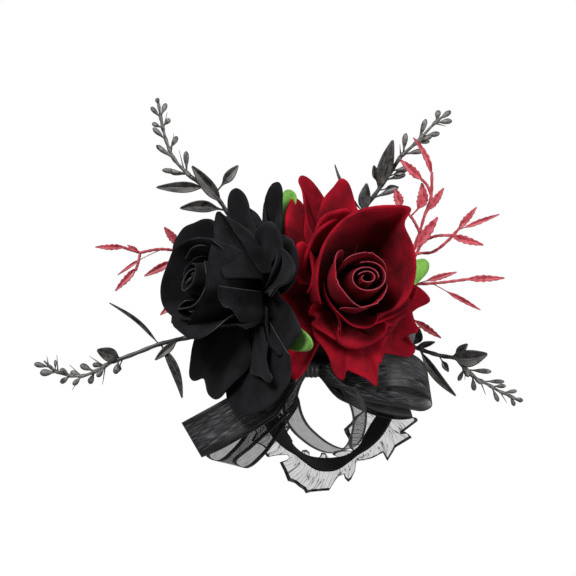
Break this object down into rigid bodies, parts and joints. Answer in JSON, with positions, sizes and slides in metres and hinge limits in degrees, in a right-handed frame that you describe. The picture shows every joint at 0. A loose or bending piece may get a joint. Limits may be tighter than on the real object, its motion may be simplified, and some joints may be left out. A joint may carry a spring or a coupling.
{
  "type": "wrist corsage",
  "caption": "Wrist corsage of cloth roses, bud sprigs and ferns with a sheer ribbon bow on a frilled elastic wristlet.",
  "frame": {"origin": "middle of the wrist loop, at half of the elastic's width", "axes": "+Z from the wrist to the flowers, Y along the wrist with the flowers facing -Y and up, X across the wrist"},
  "size_m": [0.1836, 0.0952, 0.1377],
  "materials": {
    "black_velvet": "matt pile",
    "red_velvet": "matt pile",
    "green_felt": "matt",
    "green_tape": "matt",
    "grey_plastic": "soft gloss",
    "red_plastic": "soft gloss",
    "black_organza": "sheer with satin edges",
    "black_elastic": "matt weave",
    "black_felt": "matt"
  },
  "bodies": {
    "spray": {"rose_black_stem": "green_tape", "rose_black_bud": "black_velvet", "rose_black_inner_petals": "black_velvet", "rose_black_cup_petals": "black_velvet", "rose_black_middle_petals": "black_velvet", "rose_black_outer_petals": "black_velvet", "rose_black_lowest_petals": "black_velvet", "rose_black_calyx": "green_felt", "rose_red_stem": "green_tape", "rose_red_bud": "red_velvet", "rose_red_inner_petals": "red_velvet", "rose_red_cup_petals": "red_velvet", "rose_red_middle_petals": "red_velvet", "rose_red_outer_petals": "red_velvet", "rose_red_lowest_petals": "red_velvet", "rose_red_calyx": "green_felt", "stem_bundle": "green_tape", "bow_tie": "black_organza", "bow_loop_centre": "black_organza", "bow_loop_left_upper": "black_organza", "bow_loop_left_lower": "black_organza", "bow_loop_right_upper": "black_organza", "bow_loop_right_lower": "black_organza", "elastic_top": "black_elastic", "elastic_side_right": "black_elastic", "elastic_side_left": "black_elastic", "frill_right": "black_organza", "frill_left": "black_organza", "felt_pad_lower": "black_felt", "felt_pad_upper": "black_felt"},
    "lower_band": {"elastic_bottom": "black_elastic", "frill_bottom": "black_organza"},
    "sprig_upper_left": {"sprig_upper_left_stem": "grey_plastic", "sprig_upper_left_leaves": "grey_plastic", "sprig_upper_left_buds": "grey_plastic"},
    "sprig_upper_right": {"sprig_upper_right_stem": "grey_plastic", "sprig_upper_right_leaves": "grey_plastic", "sprig_upper_right_buds": "grey_plastic"},
    "sprig_lower_left": {"sprig_lower_left_stem": "grey_plastic", "sprig_lower_left_leaves": "grey_plastic", "sprig_lower_left_buds": "grey_plastic"},
    "sprig_lower_right": {"sprig_lower_right_stem": "grey_plastic", "sprig_lower_right_leaves": "grey_plastic", "sprig_lower_right_buds": "grey_plastic"},
    "fern_upper_body": {"fern_upper": "red_plastic"},
    "fern_right_body": {"fern_right": "red_plastic"},
    "fern_left_body": {"fern_left": "red_plastic"}
  },
  "joints": [
    {"name": "wristlet_stretch", "type": "slide", "parent": "spray", "child": "lower_band", "axis": [0, 0, -1], "range_m": [0, 0.02], "stiffness_N_per_m": 40, "deforming": ["elastic_side_right", "elastic_side_left", "frill_right", "frill_left"]},
    {"name": "sprig_upper_left_bend", "type": "hinge", "parent": "spray", "child": "sprig_upper_left", "pos_m": [-0.01397, 0.03177, 0.03939], "axis": [-0.6628, -0.3744, -0.6484], "range_deg": [0, 20]},
    {"name": "sprig_upper_right_bend", "type": "hinge", "parent": "spray", "child": "sprig_upper_right", "pos_m": [-0.00409, 0.03276, 0.03997], "axis": [-0.7619, 0.3239, 0.5609], "range_deg": [0, 20]},
    {"name": "sprig_lower_left_bend", "type": "hinge", "parent": "spray", "child": "sprig_lower_left", "pos_m": [-0.01393, 0.02403, 0.03001], "axis": [0.3322, -0.4716, -0.8168], "range_deg": [0, 20]},
    {"name": "sprig_lower_right_bend", "type": "hinge", "parent": "spray", "child": "sprig_lower_right", "pos_m": [-0.00405, 0.02461, 0.03083], "axis": [0.4517, 0.4461, 0.7726], "range_deg": [0, 20]},
    {"name": "fern_upper_bend", "type": "hinge", "parent": "spray", "child": "fern_upper_body", "pos_m": [-0.00402, 0.02969, 0.03713], "axis": [0, -0.866, 0.5], "range_deg": [-6, 0]},
    {"name": "fern_right_bend", "type": "hinge", "parent": "spray", "child": "fern_right_body", "pos_m": [-0.00409, 0.02678, 0.03304], "axis": [-0.0972, 0.4976, 0.8619], "range_deg": [0, 20]},
    {"name": "fern_left_bend", "type": "hinge", "parent": "spray", "child": "fern_left_body", "pos_m": [-0.01393, 0.02871, 0.03539], "axis": [-0.2689, -0.4816, -0.8341], "range_deg": [0, 20]}
  ]
}
